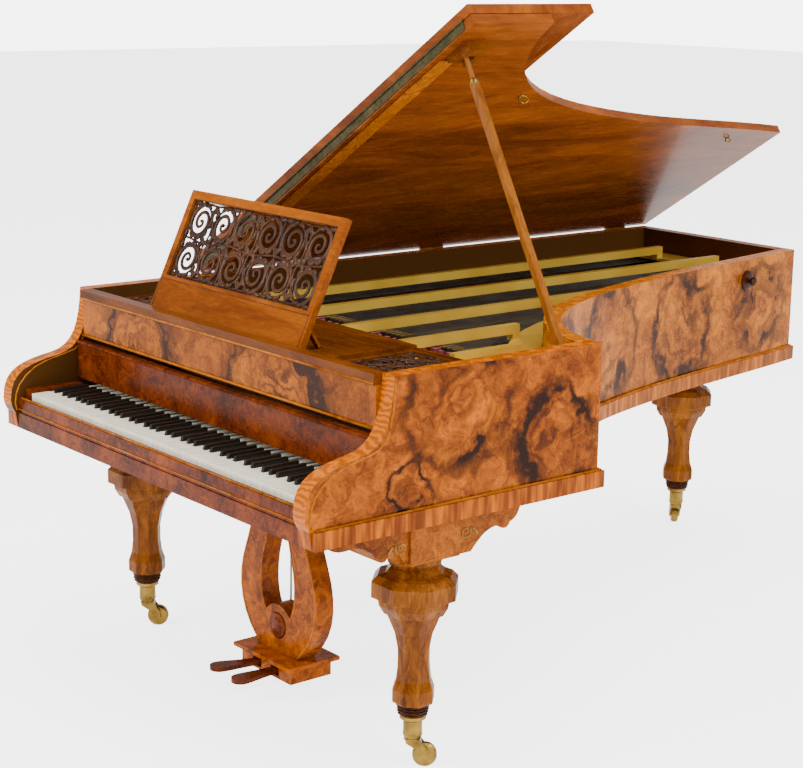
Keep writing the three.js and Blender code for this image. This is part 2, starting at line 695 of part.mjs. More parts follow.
add("pedal_left", pedal(-PEDAL_X, THREE.MathUtils.degToRad(-16)), BURR_WALNUT);
add("pedal_right", pedal(PEDAL_X, 0), BURR_WALNUT);
const rodFoot = PEDAL_Z + 11.5;
const rodTop = BOTTOM + 8;
for (const [name, x] of [["pedal_rod_left", -ROD_X], ["pedal_rod_right", ROD_X]])
  add(name, rod("z", 3, rodTop - rodFoot, x, ROD_Y, (rodTop + rodFoot) / 2, 8), STEEL);

// A turned knob on the bent side, near the tail.
const knobT = 0.62;
const knobAt = bend[1].getPoint(knobT);
const knobAlong = bend[1].getTangent(knobT);
const knob = new THREE.Group();
knob.position.set(knobAt.x - knobAlong.y * PLINTH_PROUD, knobAt.y + knobAlong.x * PLINTH_PROUD, 880);
knob.rotation.z = Math.atan2(-knobAlong.x, knobAlong.y) - Math.PI / 2;
piano.add(knob);
add(
  "side_knob",
  new THREE.LatheGeometry(
    [[0, 0.6], [30, 0.6], [30, 4], [22, 7], [8, 8], [7, 14], [13, 20], [14, 26], [8, 31], [0, 32]].map(
      ([r, z]) => new THREE.Vector2(r, z),
    ),
    14,
  ),
  DARK_BURR,
  knob,
);

export default piano;
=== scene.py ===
"""A full-size concert grand piano in burr walnut, lid open on its prop and music desk raised."""
import math

import bmesh
import bpy
from mathutils import Matrix, Vector


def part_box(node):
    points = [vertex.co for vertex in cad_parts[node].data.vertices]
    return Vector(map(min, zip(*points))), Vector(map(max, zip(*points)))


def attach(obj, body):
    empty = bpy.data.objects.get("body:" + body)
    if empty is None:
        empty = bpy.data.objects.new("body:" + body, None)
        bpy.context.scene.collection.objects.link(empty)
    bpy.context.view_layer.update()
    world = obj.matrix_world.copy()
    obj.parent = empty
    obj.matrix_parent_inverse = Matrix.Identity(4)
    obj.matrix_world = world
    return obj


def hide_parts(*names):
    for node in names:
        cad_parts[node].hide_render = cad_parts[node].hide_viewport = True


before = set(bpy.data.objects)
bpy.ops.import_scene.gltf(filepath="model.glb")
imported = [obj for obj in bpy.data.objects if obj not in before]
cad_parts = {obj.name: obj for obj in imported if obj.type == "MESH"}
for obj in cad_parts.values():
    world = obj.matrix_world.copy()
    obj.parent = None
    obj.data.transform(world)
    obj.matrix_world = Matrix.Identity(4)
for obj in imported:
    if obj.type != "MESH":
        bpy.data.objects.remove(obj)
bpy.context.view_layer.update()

# ---- The room ----
# A pale floor, soft lamps on both sides and a long lens from the treble side, a little above the rim.
centre_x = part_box("case_treble_side")[1][0] - 0.675
front_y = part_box("keybed")[0][1]


def at(x, y, z):
    """A point in the frame, from millimetres off the centre line, the front plinth and the floor."""
    return Vector((centre_x + x / 1000, front_y + y / 1000, z / 1000))


floor_mesh = bmesh.new()
bmesh.ops.create_grid(floor_mesh, x_segments=1, y_segments=1, size=30)
floor_data = bpy.data.meshes.new("floor")
floor_mesh.to_mesh(floor_data)
floor_mesh.free()
floor = bpy.data.objects.new("floor", floor_data)
bpy.context.collection.objects.link(floor)
floor_paint = bpy.data.materials.new("floor_paint")
floor_paint.use_nodes = True
floor_shader = floor_paint.node_tree.nodes["Principled BSDF"]
floor_shader.inputs["Base Color"].default_value = (0.95, 0.95, 0.94, 1)
floor_shader.inputs["Roughness"].default_value = 0.8
floor_shader.inputs["Emission Strength"].default_value = 3.2
floor_seen = floor_paint.node_tree.nodes.new("ShaderNodeLightPath")
floor_glow = floor_paint.node_tree.nodes.new("ShaderNodeMix")
floor_glow.data_type = "RGBA"
floor_glow.inputs[6].default_value = (0.27, 0.27, 0.27, 1)
floor_glow.inputs[7].default_value = (1, 1, 1, 1)
floor_paint.node_tree.links.new(floor_seen.outputs["Is Camera Ray"], floor_glow.inputs[0])
floor_paint.node_tree.links.new(floor_glow.outputs[2], floor_shader.inputs["Emission Color"])
floor_data.materials.append(floor_paint)

room = bpy.data.worlds.new("room")
room.use_nodes = True
room.node_tree.nodes["Background"].inputs["Color"].default_value = (1, 0.99, 0.97, 1)
room.node_tree.nodes["Background"].inputs["Strength"].default_value = 0.7
backdrop = room.node_tree.nodes.new("ShaderNodeBackground")
backdrop.inputs["Color"].default_value = (1, 1, 1, 1)
backdrop.inputs["Strength"].default_value = 6.0
seen = room.node_tree.nodes.new("ShaderNodeLightPath")
either = room.node_tree.nodes.new("ShaderNodeMixShader")
room.node_tree.links.new(seen.outputs["Is Camera Ray"], either.inputs[0])
room.node_tree.links.new(room.node_tree.nodes["Background"].outputs[0], either.inputs[1])
room.node_tree.links.new(backdrop.outputs[0], either.inputs[2])
room.node_tree.links.new(either.outputs[0], room.node_tree.nodes["World Output"].inputs["Surface"])
bpy.context.scene.world = room
for name, place, size, power in (
    ("window_left", (-1.5, -6.0, 4.2), 4.0, 430),
    ("window_right", (6.0, 0.5, 4.0), 4.0, 350),
    ("ceiling", (0.5, 0.0, 5.5), 5.0, 260),
):
    lamp = bpy.data.lights.new(name, "AREA")
    lamp.size = size
    lamp.energy = power
    lamp_object = bpy.data.objects.new(name, lamp)
    lamp_object.location = place
    lamp_object.rotation_euler = (Vector((0, 0, 0.8)) - Vector(place)).to_track_quat("-Z", "Y").to_euler()
    bpy.context.collection.objects.link(lamp_object)

yaw, pitch, roll = math.radians(-50.92), math.radians(-12.82), math.radians(0.84)
forward = Vector((math.sin(yaw) * math.cos(pitch), math.cos(yaw) * math.cos(pitch), math.sin(pitch)))
level = forward.cross(Vector((0, 0, 1))).normalized()
upright = level.cross(forward)
right = level * math.cos(roll) + upright * math.sin(roll)
up = upright * math.cos(roll) - level * math.sin(roll)
lens = bpy.data.cameras.new("camera")
lens.lens = 82.6
lens.sensor_width = 36
camera = bpy.data.objects.new("camera", lens)
camera.matrix_world = Matrix.Translation((3.586 + centre_x, -3.310, 1.781)) @ Matrix(
    (right, up, -forward)
).transposed().to_4x4()
bpy.context.collection.objects.link(camera)
bpy.context.scene.camera = camera

# ---- The case ----
# Built-up walnut walls under thick burr veneer, French polished. The plinth is cross-banded, and
# the scrolled arms and the top edge of the rim carry a lighter cross-grained moulding.


def new_group(name, inputs, outputs):
    """A shader node group with named sockets: (name, type, value) in, (name, type) out."""
    tree = bpy.data.node_groups.new(name, "ShaderNodeTree")
    for label, kind, value in inputs:
        socket = tree.interface.new_socket(label, in_out="INPUT", socket_type=kind)
        if value is not None:
            socket.default_value = value
    for label, kind in outputs:
        tree.interface.new_socket(label, in_out="OUTPUT", socket_type=kind)
    return tree, tree.nodes.new("NodeGroupInput"), tree.nodes.new("NodeGroupOutput")


def math_node(tree, operation, a, b=None, clamp=False):
    node = tree.nodes.new("ShaderNodeMath")
    node.operation = operation
    node.use_clamp = clamp
    for socket, value in zip(node.inputs, (a, b)):
        if value is None:
            continue
        if isinstance(value, (int, float)):
            socket.default_value = value
        else:
            tree.links.new(value, socket)
    return node.outputs[0]


# Burr figure: swirled clouds, small dark eyes and fine pores.
burr, burr_in, burr_out = new_group(
    "burr_figure",
    [("Vector", "NodeSocketVector", None), ("Scale", "NodeSocketFloat", 4.0),
     ("Swirl", "NodeSocketFloat", 0.3)],
    [("Figure", "NodeSocketFloat"), ("Eyes", "NodeSocketFloat"), ("Pores", "NodeSocketFloat")],
)
warp_noise = burr.nodes.new("ShaderNodeTexNoise")
warp_noise.inputs["Detail"].default_value = 3
burr.links.new(burr_in.outputs["Vector"], warp_noise.inputs["Vector"])
burr.links.new(burr_in.outputs["Scale"], warp_noise.inputs["Scale"])
centred = burr.nodes.new("ShaderNodeVectorMath")
centred.operation = "SUBTRACT"
centred.inputs[1].default_value = (0.5, 0.5, 0.5)
burr.links.new(warp_noise.outputs["Color"], centred.inputs[0])
swirled = burr.nodes.new("ShaderNodeVectorMath")
swirled.operation = "SCALE"
burr.links.new(centred.outputs[0], swirled.inputs[0])
burr.links.new(burr_in.outputs["Swirl"], swirled.inputs["Scale"])
warped = burr.nodes.new("ShaderNodeVectorMath")
burr.links.new(burr_in.outputs["Vector"], warped.inputs[0])
burr.links.new(swirled.outputs[0], warped.inputs[1])
figure = burr.nodes.new("ShaderNodeTexNoise")
figure.inputs["Detail"].default_value = 9
figure.inputs["Roughness"].default_value = 0.66
figure.inputs["Distortion"].default_value = 1.1
burr.links.new(warped.outputs[0], figure.inputs["Vector"])
burr.links.new(math_node(burr, "MULTIPLY", burr_in.outputs["Scale"], 1.7), figure.inputs["Scale"])
eyes = burr.nodes.new("ShaderNodeTexVoronoi")
burr.links.new(warped.outputs[0], eyes.inputs["Vector"])
burr.links.new(math_node(burr, "MULTIPLY", burr_in.outputs["Scale"], 6.5), eyes.inputs["Scale"])
eye_mask = math_node(burr, "SUBTRACT", 1.0, math_node(burr, "MULTIPLY", eyes.outputs["Distance"], 3.2), True)
pores = burr.nodes.new("ShaderNodeTexNoise")
pores.inputs["Detail"].default_value = 5
burr.links.new(burr_in.outputs["Vector"], pores.inputs["Vector"])
burr.links.new(math_node(burr, "MULTIPLY", burr_in.outputs["Scale"], 18.0), pores.inputs["Scale"])
cloud = burr.nodes.new("ShaderNodeTexNoise")
cloud.inputs["Detail"].default_value = 2
burr.links.new(warped.outputs[0], cloud.inputs["Vector"])
burr.links.new(math_node(burr, "MULTIPLY", burr_in.outputs["Scale"], 0.4), cloud.inputs["Scale"])
mixed = math_node(burr, "ADD", math_node(burr, "MULTIPLY", figure.outputs["Fac"], 0.62),
                  math_node(burr, "MULTIPLY", cloud.outputs["Fac"], 0.38))
burr.links.new(mixed, burr_out.inputs["Figure"])
burr.links.new(eye_mask, burr_out.inputs["Eyes"])
burr.links.new(pores.outputs["Fac"], burr_out.inputs["Pores"])

# Ring figure: where the veneer was cut across a knot, dark rings spread from one centre.
ring, ring_in, ring_out = new_group(
    "ring_figure",
    [("Vector", "NodeSocketVector", None), ("Centre", "NodeSocketVector", (0, 0, 0)),
     ("Radius", "NodeSocketFloat", 0.15), ("Rings", "NodeSocketFloat", 60.0)],
    [("Mask", "NodeSocketFloat")],
)
ring_noise = ring.nodes.new("ShaderNodeTexNoise")
ring_noise.inputs["Scale"].default_value = 13
ring_noise.inputs["Detail"].default_value = 5
ring.links.new(ring_in.outputs["Vector"], ring_noise.inputs["Vector"])
ring_distance = ring.nodes.new("ShaderNodeVectorMath")
ring_distance.operation = "DISTANCE"
ring.links.new(ring_in.outputs["Vector"], ring_distance.inputs[0])
ring.links.new(ring_in.outputs["Centre"], ring_distance.inputs[1])
wobble = math_node(ring, "MULTIPLY", math_node(ring, "SUBTRACT", ring_noise.outputs["Fac"], 0.5), 0.22)
ring_radius = math_node(ring, "ADD", ring_distance.outputs["Value"], wobble)
ring_share = math_node(ring, "DIVIDE", ring_radius, ring_in.outputs["Radius"])
rim_band = math_node(ring, "ABSOLUTE", math_node(ring, "SUBTRACT", ring_share, 0.85))
rim_band = math_node(ring, "SUBTRACT", 1.0, math_node(ring, "MULTIPLY", rim_band, 4.0), True)
ring_wave = math_node(ring, "SINE", math_node(ring, "MULTIPLY", ring_radius, ring_in.outputs["Rings"]))
ring_wave = math_node(ring, "MULTIPLY", math_node(ring, "ADD", ring_wave, 0.3), 0.55, True)
inside = math_node(ring, "SUBTRACT", 1.35, ring_share, True)
ring_total = math_node(ring, "ADD", rim_band, math_node(ring, "MULTIPLY", ring_wave, inside), True)
ring_grit = math_node(ring, "SUBTRACT", ring_noise.outputs["Fac"], 0.22)
ring_grit = math_node(ring, "MULTIPLY", ring_grit, 2.4, True)
ring.links.new(math_node(ring, "MULTIPLY", ring_total, ring_grit), ring_out.inputs["Mask"])


def ramp(tree, value, stops):
    node = tree.nodes.new("ShaderNodeValToRGB")
    node.color_ramp.interpolation = "B_SPLINE"
    for index, (position, color) in enumerate(stops):
        stop = node.color_ramp.elements[index] if index < 2 else node.color_ramp.elements.new(position)
        stop.position = position
        stop.color = (*color, 1)
    tree.links.new(value, node.inputs["Fac"])
    return node.outputs["Color"]


def mix(tree, amount, a, b, blend="MIX"):
    node = tree.nodes.new("ShaderNodeMix")
    node.data_type = "RGBA"
    node.blend_type = blend
    if isinstance(amount, (int, float)):
        node.inputs[0].default_value = amount
    else:
        tree.links.new(amount, node.inputs[0])
    for socket, value in ((node.inputs[6], a), (node.inputs[7], b)):
        if isinstance(value, tuple):
            socket.default_value = (*value, 1)
        else:
            tree.links.new(value, socket)
    return node.outputs[2]


def walnut(name, dark, middle, light, scale=4.0, swirl=0.3, grain=(1, 1, 1), rings=(), edges=None,
           plinth=None, painted_inner_shade=None, eyes=0.5, roughness=0.26, coat=0.04, bump=0.05):
    """A polished walnut finish. Grain stretches the figure and rings are knots. Above the height
    edges, faces turned from the sides get a lighter moulding; below plinth the veneer is
    cross-banded. The last argument is painted shade: a dark colour, with the axis and the way that its
    faces look, for the inside of a case wall in the shade under the lid."""
    finish = bpy.data.materials.new(name)
    finish.use_nodes = True
    tree = finish.node_tree
    shader = tree.nodes["Principled BSDF"]
    place = tree.nodes.new("ShaderNodeTexCoord")
    turn = tree.nodes.new("ShaderNodeMapping")
    turn.inputs["Scale"].default_value = grain
    tree.links.new(place.outputs["Object"], turn.inputs["Vector"])
    figure = tree.nodes.new("ShaderNodeGroup")
    figure.node_tree = burr
    figure.inputs["Scale"].default_value = scale
    figure.inputs["Swirl"].default_value = swirl
    tree.links.new(turn.outputs["Vector"], figure.inputs["Vector"])
    color = ramp(tree, figure.outputs["Figure"], ((0.32, dark), (0.70, light), (0.50, middle)))
    color = mix(tree, math_node(tree, "MULTIPLY", figure.outputs["Eyes"], eyes), color, dark)
    for centre, radius, count in rings:
        knot = tree.nodes.new("ShaderNodeGroup")
        knot.node_tree = ring
        knot.inputs["Centre"].default_value = at(*centre)
        knot.inputs["Radius"].default_value = radius
        knot.inputs["Rings"].default_value = count
        tree.links.new(place.outputs["Object"], knot.inputs["Vector"])
        color = mix(tree, math_node(tree, "MULTIPLY", knot.outputs["Mask"], 1.25, True), color, dark)
    speck = math_node(tree, "ADD", math_node(tree, "MULTIPLY", figure.outputs["Pores"], 0.7), 0.62)
    value = tree.nodes.new("ShaderNodeCombineColor")
    for socket in value.inputs:
        tree.links.new(speck, socket)
    color = mix(tree, 1.0, color, value.outputs["Color"], "MULTIPLY")
    if edges:
        surface = tree.nodes.new("ShaderNodeNewGeometry")
        facing = tree.nodes.new("ShaderNodeSeparateXYZ")
        tree.links.new(surface.outputs["Normal"], facing.inputs["Vector"])
        sideways = math_node(tree, "ABSOLUTE", facing.outputs["X"])
        height = tree.nodes.new("ShaderNodeSeparateXYZ")
        tree.links.new(place.outputs["Object"], height.inputs["Vector"])
        above = math_node(tree, "GREATER_THAN", height.outputs["Z"], edges)
        mask = math_node(tree, "MULTIPLY", math_node(tree, "LESS_THAN", sideways, 0.5), above)
        band = tree.nodes.new("ShaderNodeTexWave")
        band.bands_direction = "Z"
        band.inputs["Scale"].default_value = 26
        band.inputs["Distortion"].default_value = 9
        band.inputs["Detail"].default_value = 4
        tree.links.new(place.outputs["Object"], band.inputs["Vector"])
        color = mix(tree, mask, color, ramp(tree, band.outputs["Fac"], ((0.0, middle), (1.0, light))))
    if plinth:
        upright_grain = tree.nodes.new("ShaderNodeMapping")
        upright_grain.inputs["Scale"].default_value = (1, 1, 0.12)
        tree.links.new(place.outputs["Object"], upright_grain.inputs["Vector"])
        streaks = tree.nodes.new("ShaderNodeTexNoise")
        streaks.inputs["Scale"].default_value = 60
        streaks.inputs["Detail"].default_value = 4
        tree.links.new(upright_grain.outputs["Vector"], streaks.inputs["Vector"])
        floor_up = tree.nodes.new("ShaderNodeSeparateXYZ")
        tree.links.new(place.outputs["Object"], floor_up.inputs["Vector"])
        below = math_node(tree, "LESS_THAN", floor_up.outputs["Z"], plinth)
        shade = tuple(channel * 0.4 for channel in middle)
        banding = ramp(tree, streaks.outputs["Fac"], ((0.3, shade), (0.74, light), (0.52, middle)))
        color = mix(tree, below, color, banding)
    # Painted shade: faces that look along the given axis and way, the inside of a case wall, take a flat dark
    # colour for the shade under the lid.
    if painted_inner_shade:
        wall = tree.nodes.new("ShaderNodeNewGeometry")
        wall_facing = tree.nodes.new("ShaderNodeSeparateXYZ")
        tree.links.new(wall.outputs["Normal"], wall_facing.inputs["Vector"])
        painted_shade_color, axis, way = painted_inner_shade
        inward = math_node(tree, "MULTIPLY", wall_facing.outputs[axis], way)
        color = mix(tree, math_node(tree, "GREATER_THAN", inward, 0.7), color, painted_shade_color)
    tree.links.new(color, shader.inputs["Base Color"])
    pore_dulling = math_node(tree, "MULTIPLY", figure.outputs["Pores"], 0.16)
    tree.links.new(math_node(tree, "ADD", pore_dulling, roughness - 0.08), shader.inputs["Roughness"])
    shader.inputs["Specular IOR Level"].default_value = 0.07
    shader.inputs["Coat Weight"].default_value = coat
    shader.inputs["Coat Roughness"].default_value = 0.08
    relief = tree.nodes.new("ShaderNodeBump")
    relief.inputs["Strength"].default_value = bump
    relief.inputs["Distance"].default_value = 0.002
    tree.links.new(figure.outputs["Pores"], relief.inputs["Height"])
    tree.links.new(relief.outputs["Normal"], shader.inputs["Normal"])
    return finish


def paint(finish, *nodes):
    for node in nodes:
        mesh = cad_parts[node].data
        mesh.materials.clear()
        mesh.materials.append(finish)


AMBER = ((0.016, 0.003, 0.0), (0.24, 0.045, 0.0), (0.64, 0.155, 0.0))
PLINTH_TOP = 642  # mm above the floor
SIDE_KNOTS = (((663, 680, 745), 0.135, 110), ((663, 395, 860), 0.16, 90), ((663, 250, 690), 0.07, 130))
BENT_KNOTS = (((330, 1010, 780), 0.15, 100), ((200, 1330, 800), 0.17, 90), ((95, 1720, 780), 0.17, 90),
              ((20, 2150, 790), 0.14, 100))
plinth = PLINTH_TOP / 1000
side_veneer = walnut("side_veneer", *AMBER, scale=13, swirl=0.10, edges=0.66, plinth=plinth,
                     rings=SIDE_KNOTS)
bent_veneer = walnut("bent_veneer", (0.03, 0.007, 0.001), (0.31, 0.072, 0.001), (0.68, 0.21, 0.008),
                     scale=11, swirl=0.1, edges=0.935, plinth=plinth, eyes=0.4, rings=BENT_KNOTS)
# The spine and the tail carry painted shade on their inward faces, a dark colour for the shade inside the
# case under the lid.
spine_veneer_and_painted_shade = walnut("spine_veneer_and_painted_shade", *AMBER, scale=13, swirl=0.10, edges=0.66, plinth=plinth,
                      painted_inner_shade=((0.07, 0.028, 0.006), "X", 1))
tail_veneer_and_painted_shade = walnut("tail_veneer_and_painted_shade", *AMBER, scale=13, swirl=0.10, plinth=plinth,
                     painted_inner_shade=((0.08, 0.024, 0.004), "Y", -1))
paint(side_veneer, "case_treble_side")
paint(spine_veneer_and_painted_shade, "case_spine")
paint(tail_veneer_and_painted_shade, "case_tail")
paint(bent_veneer, "case_bentside")

# Half-round beads run along the top and the foot of the plinth, round the whole case. They are glued on.
bead_wood = walnut("bead_wood", (0.12, 0.022, 0.0), (0.34, 0.085, 0.001), (0.60, 0.20, 0.01),
                   scale=9, eyes=0.2)


def finished(name, body, finish, data, replaces=()):
    """An object from a mesh or a bmesh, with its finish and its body."""
    if isinstance(data, bmesh.types.BMesh):
        bmesh.ops.recalc_face_normals(data, faces=data.faces)
        mesh = bpy.data.meshes.new(name)
        data.to_mesh(mesh)
        data.free()
    else:
        mesh = data
        mesh.name = name
    piece = bpy.data.objects.new(name, mesh)
    bpy.context.collection.objects.link(piece)
    for layer in finish if isinstance(finish, (list, tuple)) else (finish,):
        mesh.materials.append(layer)
    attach(piece, body)
    if replaces:
        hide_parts(*replaces)
    return piece


def round_strip(paths, sides=2, smooth=True):
    """Round strips along paths of (point, radius in mm), as one mesh."""
    curve = bpy.data.curves.new("strip", "CURVE")
    curve.dimensions = "3D"
    curve.bevel_depth = 0.001
    curve.bevel_resolution = sides
    curve.use_fill_caps = True
    for path in paths:
        spline = curve.splines.new("POLY")
        spline.points.add(len(path) - 1)
        for point, (place, radius) in zip(spline.points, path):
            point.co = (*place, 1)
            point.radius = radius
    holder = bpy.data.objects.new("strip", curve)
    bpy.context.collection.objects.link(holder)
    bpy.context.view_layer.update()
    mesh = bpy.data.meshes.new_from_object(holder.evaluated_get(bpy.context.evaluated_depsgraph_get()))
    bpy.data.objects.remove(holder)
    bpy.data.curves.remove(curve)
    strip = bmesh.new()
    strip.from_mesh(mesh)
    bpy.data.meshes.remove(mesh)
    bmesh.ops.remove_doubles(strip, verts=strip.verts, dist=1e-6)
    for face in strip.faces:
        face.smooth = smooth
    return strip


def bend_point(t, depth):
    """The bent side's line, the same two curves as the case, moved inwards by depth."""
    first = ((675, 834), (325, 850), (205, 1250), (115, 1643))
    second = ((115, 1643), (70, 1840), (40, 2100), (-15, 2353))
    points = [Vector(p) for p in (first if t < 1 else second)]
    s = t if t < 1 else t - 1
    place = sum((points[i] * math.comb(3, i) * (1 - s) ** (3 - i) * s ** i for i in range(4)),
                Vector((0, 0)))
    along = sum(((points[i + 1] - points[i]) * math.comb(2, i) * (1 - s) ** (2 - i) * s ** i
                 for i in range(3)), Vector((0, 0))).normalized()
    return place.x - along.y * depth, place.y + along.x * depth


BEAD_X = 668
BEAD_BACK = 2346
bent_run = [bend_point(i / 24, 7) for i in range(49)]
bent_run = [(min(x, BEAD_X), min(y, BEAD_BACK)) for x, y in bent_run]
case_run = [(-BEAD_X, 8), (-BEAD_X, BEAD_BACK), (-22, BEAD_BACK)] + bent_run[::-1]
case_run += [(BEAD_X, 830), (BEAD_X, 8)]
plinth_bead = round_strip([[(at(x, y, z), radius) for x, y in case_run]
                           for z, radius in ((PLINTH_TOP, 3.6), (606, 2.4))])
finished("plinth_bead", "case", bead_wood, plinth_bead)

# ---- The arms ----
# Each arm's scrolled edge is a cross-grained moulding with a bright bead down its outer corner.
arm = [(213, 943), (211, 905), (207, 870), (200, 838), (188, 808), (168, 790), (140, 782), (112, 776),
       (80, 768), (50, 756), (24, 738), (4, 715), (-6, 692), (-9, 670), (-5, 650)]
arm_beads = []
for side in (-1, 1):
    arm_beads.append([(at(side * 663, y + 3, z - 2), 2.6) for y, z in arm])
    arm_beads.append([(at(side * 621, y + 3, z - 2), 2.0) for y, z in arm])
finished("arm_beads", "case", bead_wood, round_strip(arm_beads))

# ---- The front ----
# Key slip, key blocks and fallboard in dark burr; the upper board in amber crotch veneer.
dark_burr = walnut("dark_burr", (0.010, 0.002, 0.001), (0.09, 0.012, 0.001), (0.29, 0.052, 0.0),
                   scale=24, swirl=0.08)
fan_veneer = walnut("fan_veneer", (0.03, 0.007, 0.002), (0.28, 0.058, 0.0), (0.52, 0.145, 0.0),
                    scale=12, swirl=0.1, rings=(((-350, 205, 790), 0.20, 190), ((252, 205, 790), 0.23, 190)))
rail_wood = walnut("rail_wood", (0.030, 0.007, 0.001), (0.11, 0.025, 0.002), (0.22, 0.062, 0.005),
                   scale=5, grain=(0.25, 1.5, 1.5), eyes=0.15)
knob_wood = walnut("knob_wood", (0.006, 0.002, 0.001), (0.035, 0.008, 0.002), (0.10, 0.026, 0.004),
                   scale=24, eyes=0.3)
paint(dark_burr, "key_slip", "key_block_bass", "key_block_treble", "fallboard", "keybed")
paint(knob_wood, "side_knob")
paint(fan_veneer, "front_board")
paint(rail_wood, "front_rail", "desk_shelf", "prop_catch")
front_beads = [
    [(at(-620, 11, 677), 3.2), (at(620, 11, 677), 3.2)],
    [(at(-620, 2.4, 650), 2.0), (at(620, 2.4, 650), 2.0)],
    [(at(-620, 195, 823), 3.5), (at(620, 195, 823), 3.5)],
    [(at(-620, 190, 922), 2.5), (at(620, 190, 922), 2.5)],
]
finished("front_beads", "case", bead_wood, round_strip(front_beads))

# ---- The keys ----
# Fifty ivory naturals over limewood and thirty-five ebony sharps, on one balance line.
ivory = bpy.data.materials.new("ivory")
ivory.use_nodes = True
ivory_tree = ivory.node_tree
ivory_shader = ivory_tree.nodes["Principled BSDF"]
ivory_place = ivory_tree.nodes.new("ShaderNodeTexCoord")
ivory_grain = ivory_tree.nodes.new("ShaderNodeTexNoise")
ivory_grain.inputs["Scale"].default_value = 38
ivory_grain.inputs["Detail"].default_value = 4
ivory_tree.links.new(ivory_place.outputs["Object"], ivory_grain.inputs["Vector"])
ivory_color = ramp(ivory_tree, ivory_grain.outputs["Fac"],
                   ((0.35, (0.76, 0.68, 0.50)), (0.65, (0.88, 0.83, 0.70))))
ivory_tree.links.new(ivory_color, ivory_shader.inputs["Base Color"])
ivory_shader.inputs["Roughness"].default_value = 0.22
ivory_shader.inputs["Subsurface Weight"].default_value = 0.05
ebony = walnut("ebony", (0.006, 0.005, 0.004), (0.012, 0.010, 0.008), (0.03, 0.024, 0.02),
               scale=20, grain=(2, 0.2, 2), roughness=0.3, coat=0.3)
NATURAL = 23.6
STEM = 7 * NATURAL / 12
KEYS_BACK = 419
WHITE_OF = {0: 0, 2: 1, 4: 2, 5: 3, 7: 4, 9: 5, 11: 6}
first_c = -25 * NATURAL - 5 * NATURAL


def block(mesh, x0, x1, y0, y1, z0, z1, bevel=0.0, layer=0, lean=0.0):
    """A bevelled block from its six limits in mm; lean draws the top in at the front and the sides."""
    corners = bmesh.ops.create_cube(mesh, size=1)["verts"]
    bmesh.ops.scale(mesh, vec=((x1 - x0) / 1000, (y1 - y0) / 1000, (z1 - z0) / 1000), verts=corners)
    bmesh.ops.translate(mesh, vec=at((x0 + x1) / 2, (y0 + y1) / 2, (z0 + z1) / 2), verts=corners)
    if lean:
        top = at(0, 0, (z0 + z1) / 2).z
        for corner in corners:
            if corner.co.z > top:
                corner.co.x += math.copysign(lean / 3, at((x0 + x1) / 2, 0, 0).x - corner.co.x) / 1000
                if corner.co.y < at(0, (y0 + y1) / 2, 0).y:
                    corner.co.y += lean / 1000
    for face in {face for corner in corners for face in corner.link_faces}:
        face.material_index = layer
    if bevel:
        edges = list({edge for corner in corners for edge in corner.link_edges})
        bmesh.ops.bevel(mesh, geom=edges, offset=bevel / 1000, offset_type="OFFSET", segments=2, profile=0.5,
                        affect="EDGES", material=-1)


for octave in range(7):
    keys = bmesh.new()
    for key in range(octave * 12, min(octave * 12 + 12, 85)):
        turn, step = divmod(9 + key, 12)
        x = min(first_c + (turn * 12 + step) * STEM, 25 * NATURAL - STEM)
        if step in WHITE_OF:
            head = first_c + (turn * 7 + WHITE_OF[step]) * NATURAL
            block(keys, head + 0.4, head + NATURAL - 0.4, 25.5, 75.7, 673, 693, 0.8)
            block(keys, x + 0.5, x + STEM - 0.5, 75.2, KEYS_BACK, 673, 692.9)
        else:
            block(keys, x + 0.9, x + STEM - 0.9, 76.5, 174.5, 688, 704, 1.0, layer=1, lean=3.5)
            block(keys, x + 0.9, x + STEM - 0.9, 174, KEYS_BACK, 673, 690, layer=1)
    name = "keys_octave_%d" % (octave + 1)
    finished("ivory_and_ebony_%d" % (octave + 1), "keys_%d" % (octave + 1), [ivory, ebony], keys,
             [name])

# Crimson cloth, dyed wool with a raised nap, for the damper felts in the works below.
cloth = bpy.data.materials.new("crimson_felt")
cloth.use_nodes = True
cloth_tree = cloth.node_tree
cloth_place = cloth_tree.nodes.new("ShaderNodeTexCoord")
fibres = cloth_tree.nodes.new("ShaderNodeTexNoise")
fibres.inputs["Scale"].default_value = 900
fibres.inputs["Detail"].default_value = 6
cloth_tree.links.new(cloth_place.outputs["Object"], fibres.inputs["Vector"])
cloth_shader = cloth_tree.nodes["Principled BSDF"]
cloth_color = ramp(cloth_tree, fibres.outputs["Fac"], ((0.3, (0.22, 0.008, 0.02)), (0.7, (0.48, 0.03, 0.06))))
cloth_tree.links.new(cloth_color, cloth_shader.inputs["Base Color"])
cloth_shader.inputs["Roughness"].default_value = 0.95
cloth_shader.inputs["Sheen Weight"].default_value = 0.5
nap = cloth_tree.nodes.new("ShaderNodeBump")
nap.inputs["Strength"].default_value = 0.5
nap.inputs["Distance"].default_value = 0.0006
cloth_tree.links.new(fibres.outputs["Fac"], nap.inputs["Height"])
cloth_tree.links.new(nap.outputs["Normal"], cloth_shader.inputs["Normal"])

# ---- The lid ----
# Solid-cored boards, burr outside and plain red-brown walnut inside, with the folded front flap on a
# brass piano hinge, an orange batten behind it and two ring eyes for the lifting cords.
LID_OPEN = math.radians(32.3)


def on_lid(x, y, z):
    """A point on the lid in its own frame: up the slope from the hinge, back, and up from its underside."""
    return at(-668 + x * math.cos(LID_OPEN) - z * math.sin(LID_OPEN), y,
              945 + x * math.sin(LID_OPEN) + z * math.cos(LID_OPEN))


